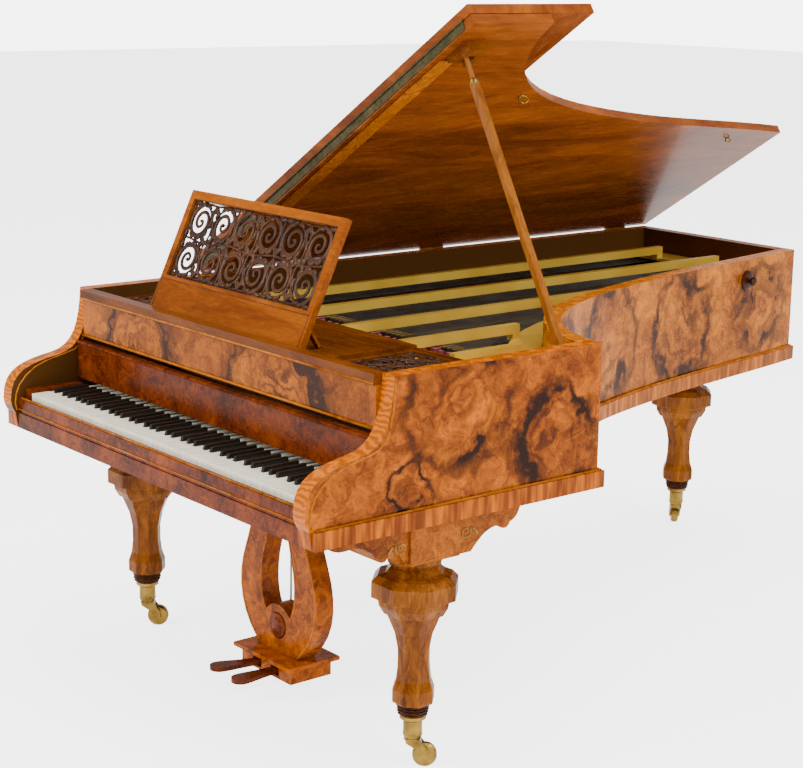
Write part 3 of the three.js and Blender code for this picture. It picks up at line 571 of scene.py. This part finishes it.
lid_wood = walnut("lid_wood", (0.045, 0.010, 0.0015), (0.19, 0.040, 0.003), (0.42, 0.105, 0.006),
                  scale=3.2, swirl=0.12, grain=(1.6, 0.28, 1.6), eyes=0.12, coat=0.1)
flap_wood = walnut("flap_wood", (0.035, 0.007, 0.0015), (0.17, 0.034, 0.003), (0.40, 0.095, 0.006),
                   scale=3.2, swirl=0.12, grain=(0.3, 1.5, 1.5), eyes=0.15, coat=0.1)
paint(lid_wood, "lid")
paint(flap_wood, "lid_flap")
batten = bmesh.new()
slats = bmesh.ops.create_cube(batten, size=1)["verts"]
bmesh.ops.scale(batten, vec=(1.147, 0.042, 0.006), verts=slats)
bmesh.ops.bevel(batten, geom=batten.edges[:], offset=0.0015, offset_type="OFFSET", segments=2, profile=0.5,
                affect="EDGES", material=-1)
bmesh.ops.rotate(batten, cent=(0, 0, 0), matrix=Matrix.Rotation(-LID_OPEN, 3, "Y"), verts=batten.verts)
bmesh.ops.translate(batten, vec=on_lid(598, 629, -3.3), verts=batten.verts)
finished("lid_batten", "lid", bead_wood, batten)

brass = bpy.data.materials.new("brass")
brass.use_nodes = True
brass_tree = brass.node_tree
brass_place = brass_tree.nodes.new("ShaderNodeTexCoord")
tarnish = brass_tree.nodes.new("ShaderNodeTexNoise")
tarnish.inputs["Scale"].default_value = 30
tarnish.inputs["Detail"].default_value = 6
brass_tree.links.new(brass_place.outputs["Object"], tarnish.inputs["Vector"])
brass_shader = brass_tree.nodes["Principled BSDF"]
brass_shader.inputs["Metallic"].default_value = 1.0
brass_color = ramp(brass_tree, tarnish.outputs["Fac"],
                   ((0.3, (0.09, 0.050, 0.010)), (0.7, (0.42, 0.26, 0.055))))
brass_tree.links.new(brass_color, brass_shader.inputs["Base Color"])
polish = math_node(brass_tree, "MULTIPLY", tarnish.outputs["Fac"], -0.2)
brass_tree.links.new(math_node(brass_tree, "ADD", polish, 0.42), brass_shader.inputs["Roughness"])
paint(brass, "lid_hinge_front", "lid_hinge_middle", "lid_hinge_tail",
      *["castor_%s_%s" % (piece, leg) for piece in ("socket", "fork", "wheel")
        for leg in ("front_bass", "front_treble", "tail")])
old_brass = walnut("old_brass", (0.012, 0.014, 0.008), (0.055, 0.045, 0.018), (0.16, 0.12, 0.045),
                   scale=30, roughness=0.42)
old_brass.node_tree.nodes["Principled BSDF"].inputs["Metallic"].default_value = 0.7
paint(old_brass, "flap_hinge")
eyes_of_brass = []
round_angles = [i * math.pi / 9 for i in range(19)]
for slope, y, size in ((975, 1017, 12), (639, 2121, 8)):
    hoop = [(on_lid(slope + size * math.sin(a) * 0.3, y + size * math.sin(a),
                    -size * 0.9 - size * math.cos(a) * 0.8), 2.0) for a in round_angles]
    eyes_of_brass += [hoop, [(on_lid(slope, y, -0.3), size * 0.7), (on_lid(slope, y, -3), size * 0.6)]]
finished("ring_eyes", "lid", brass, round_strip(eyes_of_brass))

# ---- The prop ----
# A square walnut stick with a brass ferrule at its head, on a brass pin at the treble rim.
prop_wood = walnut("prop_wood", (0.10, 0.028, 0.004), (0.23, 0.070, 0.008), (0.38, 0.13, 0.018),
                   scale=6, grain=(2, 2, 0.3), eyes=0.1)
paint(prop_wood, "lid_prop")
prop_foot = at(596, 756, 926)
prop_head = on_lid(1214, 646, -17)
along_prop = (prop_head - prop_foot).normalized()
ferrule_rings = ((0.636, 9), (0.638, 10.5), (0.646, 10.5), (0.648, 9))
ferrule = [[(prop_foot + along_prop * distance, radius) for distance, radius in ferrule_rings]]
finished("prop_ferrule", "prop", brass, round_strip(ferrule, sides=4))

# ---- Soundboard, iron frame and strings ----
# A dark varnished spruce board under a gilt iron frame, with steel strings from the pins to the hitch plate.
spruce = walnut("spruce", (0.045, 0.040, 0.025), (0.11, 0.095, 0.06), (0.19, 0.16, 0.10),
                scale=7, grain=(4, 0.3, 4), eyes=0.05, roughness=0.5, coat=0.1)
inner_wood = walnut("inner_wood", (0.10, 0.05, 0.022), (0.23, 0.12, 0.05), (0.34, 0.19, 0.09),
                    scale=5, grain=(0.3, 2, 2), eyes=0.05, roughness=0.6, coat=0.0)
paint(spruce, "soundboard")
paint(inner_wood, "case_beams", "wrest_plank", "hammer_action")
gilt = bpy.data.materials.new("gilt_iron")
gilt.use_nodes = True
gilt_tree = gilt.node_tree
gilt_place = gilt_tree.nodes.new("ShaderNodeTexCoord")
cast_skin = gilt_tree.nodes.new("ShaderNodeTexNoise")
cast_skin.inputs["Scale"].default_value = 220
cast_skin.inputs["Detail"].default_value = 5
gilt_tree.links.new(gilt_place.outputs["Object"], cast_skin.inputs["Vector"])
wear = gilt_tree.nodes.new("ShaderNodeTexNoise")
wear.inputs["Scale"].default_value = 6
gilt_tree.links.new(gilt_place.outputs["Object"], wear.inputs["Vector"])
gilt_shader = gilt_tree.nodes["Principled BSDF"]
gilt_shader.inputs["Metallic"].default_value = 0.55
gilt_shader.inputs["Roughness"].default_value = 0.38
gilt_color = ramp(gilt_tree, wear.outputs["Fac"], ((0.3, (0.68, 0.40, 0.03)), (0.7, (0.95, 0.66, 0.10))))
gilt_tree.links.new(gilt_color, gilt_shader.inputs["Base Color"])
gilt_bump = gilt_tree.nodes.new("ShaderNodeBump")
gilt_bump.inputs["Strength"].default_value = 0.35
gilt_bump.inputs["Distance"].default_value = 0.001
gilt_tree.links.new(cast_skin.outputs["Fac"], gilt_bump.inputs["Height"])
gilt_tree.links.new(gilt_bump.outputs["Normal"], gilt_shader.inputs["Normal"])
paint(gilt, "iron_frame")
steel = bpy.data.materials.new("steel")
steel.use_nodes = True
steel_tree = steel.node_tree
steel_place = steel_tree.nodes.new("ShaderNodeTexCoord")
dulling = steel_tree.nodes.new("ShaderNodeTexNoise")
dulling.inputs["Scale"].default_value = 18
dulling.inputs["Detail"].default_value = 4
steel_tree.links.new(steel_place.outputs["Object"], dulling.inputs["Vector"])
steel_shader = steel_tree.nodes["Principled BSDF"]
steel_shader.inputs["Metallic"].default_value = 1.0
steel_shader.inputs["Roughness"].default_value = 0.34
steel_color = ramp(steel_tree, dulling.outputs["Fac"], ((0.3, (0.13, 0.13, 0.13)), (0.7, (0.36, 0.36, 0.35))))
steel_tree.links.new(steel_color, steel_shader.inputs["Base Color"])
paint(steel, "pedal_rod_left", "pedal_rod_right")


LONGEST_STRING_END = 2189


def string_end(x):
    """How far back a string at x can run before the hitch plate."""
    line = [bend_point(i / 20, 149) for i in range(41)]
    for (xa, ya), (xb, yb) in zip(line, line[1:]):
        if xb < x <= xa:
            return min(LONGEST_STRING_END, ya + (yb - ya) * (xa - x) / (xa - xb))
    return line[0][1] if x > line[0][0] else LONGEST_STRING_END


bars = (-470, -230, 10, 240, 430)
LOWEST_STRING = -586
STRING_PITCH = 6.95
BAR_CLEARANCE = 13
wires = []
for i in range(168):
    x = LOWEST_STRING + i * STRING_PITCH
    if min(abs(x - bar) for bar in bars) > BAR_CLEARANCE:
        wires.append([(at(x, 545, 851), 0.7), (at(x, 600, 859), 0.7), (at(x, string_end(x) + 10, 859), 0.7)])
finished("piano_wire", "case", steel, round_strip(wires, sides=0), ["strings"])
pins = []
for i in range(84):
    x = LOWEST_STRING + i * 2 * STRING_PITCH
    if min(abs(x - bar) for bar in bars) > BAR_CLEARANCE:
        for y in (538, 556, 574):
            pins.append([(at(x + (y - 538) * 0.2, y, 845), 3.2), (at(x + (y - 538) * 0.2, y, 868), 2.8)])
finished("tuning_pins", "case", steel, round_strip(pins, sides=1))

# Dampers: dark wooden heads on crimson felt, in one row behind the pins.
paint(cloth, "damper_row")
damper_wood = walnut("damper_wood", (0.01, 0.008, 0.006), (0.03, 0.02, 0.014), (0.06, 0.04, 0.03),
                     scale=12, coat=0.3)
heads = bmesh.new()
for i in range(60):
    x = -582 + i * 18
    if x < 470 and min(abs(x + 5 - bar) for bar in bars) > 17:
        block(heads, x, x + 11, 676, 716, 876, 884, 1.0)
finished("damper_heads", "case", damper_wood, heads)

# ---- The music desk ----
# A light walnut frame leaned back on its hinge, a plain lower board with a scratched line, and a sawn
# and carved walnut fret of acanthus scrolls above it.
desk_wood = walnut("desk_wood", (0.06, 0.012, 0.0), (0.21, 0.044, 0.001), (0.38, 0.098, 0.001),
                   scale=5, grain=(0.35, 1.6, 1.6), eyes=0.12)
fret_wood = walnut("fret_wood", (0.012, 0.004, 0.002), (0.040, 0.012, 0.004), (0.11, 0.038, 0.010),
                   scale=16, swirl=0.1, eyes=0.2, roughness=0.36, coat=0.25, bump=0.3)
paint(desk_wood, "desk_frame", "desk_strut")
DESK_LEAN = math.radians(65)


def on_desk(x, y, z):
    """A point on the desk in its own frame: across, up its slope and out of its front."""
    return at(-24 + x, 242 + y * math.cos(DESK_LEAN) - z * math.sin(DESK_LEAN),
              921 + y * math.sin(DESK_LEAN) + z * math.cos(DESK_LEAN))


def scroll(cx, cy, size, turn, start, turns=1.9, thick=1.0):
    """One volute: (x, y, radius) from its outer end in to its eye."""
    steps = int(26 * turns)
    points = []
    for i in range(steps + 1):
        s = i / steps
        reach = size * (1 - s) ** 0.9 + size * 0.07
        angle = start + turn * s * turns * 2 * math.pi
        radius = size * thick * (0.115 - 0.05 * s)
        points.append((cx + reach * math.cos(angle), cy + reach * math.sin(angle), radius))
    points.append((cx, cy, size * 0.12 * thick))
    return points


def leaf(x, y, angle, size, turn):
    """A lobe of acanthus: a short curled stroke, fat in the middle."""
    points = []
    for i in range(7):
        s = i / 6
        points.append((x + size * s * math.cos(angle + turn * s), y + size * s * math.sin(angle + turn * s),
                       size * (0.06 + 0.19 * math.sin(math.pi * s) ** 0.8)))
    return points


def scroll_panel(x0, x1, y0, y1, columns, rows):
    """Flat strokes that fill a panel: volutes turning in from each column, tied by stems and leaves."""
    strokes = []
    wide, high = (x1 - x0) / columns, (y1 - y0) / rows
    size = min(wide, high) * 0.44
    for i in range(columns):
        for j in range(rows):
            cx, cy = x0 + wide * (i + 0.5), y0 + high * (j + 0.5)
            turn = 1 if (i + j) % 2 else -1
            start = math.pi / 2 if j % 2 else -math.pi / 2
            strokes.append(scroll(cx, cy, size, turn, start, thick=1.35))
            for k in range(9):
                angle = start + turn * (0.35 + k * 0.66)
                strokes.append(leaf(cx + size * 0.86 * math.cos(angle), cy + size * 0.86 * math.sin(angle),
                                    angle + turn * 0.5, size * 0.58, turn * 1.4))
            for dx, dy in ((0.5, 0.5), (-0.5, 0.5), (0.5, -0.5), (-0.5, -0.5)):
                inward = math.atan2(-dy, -dx) + 0.5 * turn
                strokes.append(leaf(cx + dx * wide, cy + dy * high, inward, size * 0.75, turn))
    stem = size * 0.07
    for i in range(columns + 1):
        x = x0 + wide * i
        strokes.append([(x + math.sin(s / 12 * math.pi * 2 * rows) * wide * 0.07, y0 + (y1 - y0) * s / 12,
                         stem) for s in range(13)])
    for j in range(rows + 1):
        y = y0 + high * j
        strokes.append([(x0 + (x1 - x0) * s / 30, y + math.cos(s / 30 * math.pi * columns) * high * 0.05,
                         stem) for s in range(31)])
    margin = size * 0.08
    return [[(min(max(x, x0 + margin), x1 - margin), min(max(y, y0 + margin), y1 - margin), r)
             for x, y, r in path] for path in strokes]


def carved(strokes, place, depth, relief=0.7):
    """Strokes turned into one flattened, carved mesh; place maps (x, y, out) to the frame."""
    work = round_strip([[((x / 1000, y / 1000, (0.0006 if index % 2 else 0)), r) for x, y, r in path]
                        for index, path in enumerate(strokes)], sides=1)
    for vert in work.verts:
        x, y, z = vert.co * 1000
        vert.co = place(x, y, max(-depth / 2, min(depth / 2, z * relief)))
    return work


fret_half = 642 / 2 - 24 - 1
desk_scrolls = scroll_panel(-fret_half, fret_half, 101, 299, 6, 2)
desk_carving = carved(desk_scrolls, lambda x, y, z: on_desk(x, y, 8 + z), 9)
finished("desk_scrollwork", "desk", fret_wood, desk_carving, ["desk_fret"])
desk_lines = [
    [(on_desk(x, y, 15.9), 1.0) for x, y in run]
    for run in (
        ((-312, 9), (312, 9)), ((-312, 88), (312, 88)), ((-312, 9), (-312, 88)), ((312, 9), (312, 88)),
        ((-298, 99), (298, 99)), ((-298, 301), (298, 301)), ((-298, 99), (-298, 301)),
        ((298, 99), (298, 301)),
    )
]
finished("desk_line", "desk", fret_wood, round_strip(desk_lines, sides=1))

# Two fretted trays lie beside the desk, in light frames.
for name, x0, x1 in (("fret_tray_bass", -618, -352), ("fret_tray_treble", 352, 618)):
    strokes = scroll_panel(x0 + 14, x1 - 14, 250, 506, 3, 3)
    finished(name.replace("fret", "scroll"), "case", fret_wood,
             carved(strokes, lambda x, y, z: at(x, y, 906 + z), 8), [name])
    border = bmesh.new()
    block(border, x0, x1, 236, 250, 900, 911, 1.2)
    block(border, x0, x1, 506, 520, 900, 911, 1.2)
    block(border, x0, x0 + 14, 250, 506, 900, 911, 1.2)
    block(border, x1 - 14, x1, 250, 506, 900, 911, 1.2)
    finished(name.replace("fret", "frame"), "case", rail_wood, border)

# ---- Legs, trusses and castors ----
# Eight-sided tapered legs in straight veneer over a dark ribbed ankle. Scroll-sawn trusses join the
# front legs to the case, with a small carved volute on each side of the centre block.
LEG_X, LEG_Y = 575, 350
TAIL_LEG = (-355, 2225)
leg_veneer = walnut("leg_veneer", (0.028, 0.007, 0.001), (0.16, 0.040, 0.002), (0.44, 0.145, 0.012),
                    scale=12, swirl=0.12, grain=(1.5, 1.5, 0.3), eyes=0.15)
truss_veneer = walnut("truss_veneer", (0.02, 0.004, 0.001), (0.20, 0.042, 0.001), (0.52, 0.14, 0.006),
                      scale=12, eyes=0.4)
paint(leg_veneer, "leg_front_bass", "leg_front_treble", "leg_tail")
paint(truss_veneer, "leg_truss_bass", "leg_truss_treble")
gilded = walnut("gilded_carving", (0.05, 0.018, 0.004), (0.24, 0.11, 0.022), (0.52, 0.30, 0.075),
                scale=22, eyes=0.3, roughness=0.3, bump=0.3)
carvings = []
for side in (-1, 1):
    for out in (1, -1):
        face = side * LEG_X + out * 55.5
        for cy, cz, size, turn, start in ((263, 549, 15, 1, 2.6), (448, 552, 15, -1, 0.6)):
            path = scroll(cy, cz, size, turn, start, turns=1.6, thick=1.25)
            carvings.append([(at(face, y, z), radius) for y, z, radius in path])
        for cy, cz, angle, size, turn in ((245, 556, 3.3, 26, 0.7), (466, 558, -0.2, 26, -0.7)):
            path = leaf(cy, cz, angle, size, turn)
            carvings.append([(at(face, y, z), radius * 0.5) for y, z, radius in path])
finished("truss_carving", "case", gilded, round_strip(carvings, sides=1))
ankles = []
for x, y in ((-LEG_X, LEG_Y), (LEG_X, LEG_Y), TAIL_LEG):
    for z, radius in ((131, 34), (138, 36), (145, 36), (152, 38)):
        ring_run = [(at(x + radius * math.cos(a), y + radius * math.sin(a), z), 2.8)
                    for a in [math.pi / 8 + i * math.pi / 4 for i in range(9)]]
        ankles.append(ring_run)
finished("ankle_ribs", "case", knob_wood, round_strip(ankles, sides=1))
mouldings = []
for side in (-1, 1):
    x0, x1 = side * LEG_X - 61, side * LEG_X + 61
    for z in (507, 592):
        mouldings.append([(at(x, y, z), 2.6) for x, y in
                          ((x0, 286), (x1, 286), (x1, 424), (x0, 424), (x0, 286))])
finished("truss_mouldings", "case", bead_wood, round_strip(mouldings, sides=1))

# ---- The pedal lyre ----
# Two bevelled arms hold a box with two wooden pedals; a turned boss covers the joint under the opening.
lyre_veneer = walnut("lyre_veneer", *AMBER, scale=16, swirl=0.08, eyes=0.4)
paint(lyre_veneer, "lyre_frame", "lyre_box")
paint(dark_burr, "pedal_left", "pedal_right")
lyre_lines = []
for side in (-1, 1):
    outer = [(88, 596), (90, 560), (96, 500), (106, 440), (120, 388), (140, 340), (158, 290), (163, 240),
             (154, 190), (138, 155), (122, 131), (104, 112), (88, 95)]
    inner = [(0, 556), (14, 520), (25, 470), (38, 410), (50, 365), (62, 330), (70, 290), (72, 250),
             (66, 218), (52, 193)]
    for run, shift in ((outer, -5), (inner, 4)):
        lyre_lines.append([(at(side * (x + shift), 381.5, z), 2.2) for x, z in run])
finished("lyre_beads", "case", bead_wood, round_strip(lyre_lines, sides=1))
boss = bmesh.new()
rings = [(0, 374), (12, 374), (20, 376), (24, 379), (30, 377.5), (34, 379), (34, 382)]
points = [boss.verts.new(at(r, y, 160)) for r, y in rings]
rim = [boss.edges.new(pair) for pair in zip(points, points[1:])]
bmesh.ops.spin(boss, geom=points + rim, cent=at(0, 380, 160), axis=(0, 1, 0), dvec=(0, 0, 0),
               angle=2 * math.pi, steps=32, use_merge=True)
bmesh.ops.remove_doubles(boss, verts=boss.verts, dist=1e-5)
bmesh.ops.holes_fill(boss, edges=[edge for edge in boss.edges if edge.is_boundary], sides=0)
for face in boss.faces:
    face.smooth = True
finished("lyre_boss", "case", dark_burr, boss)
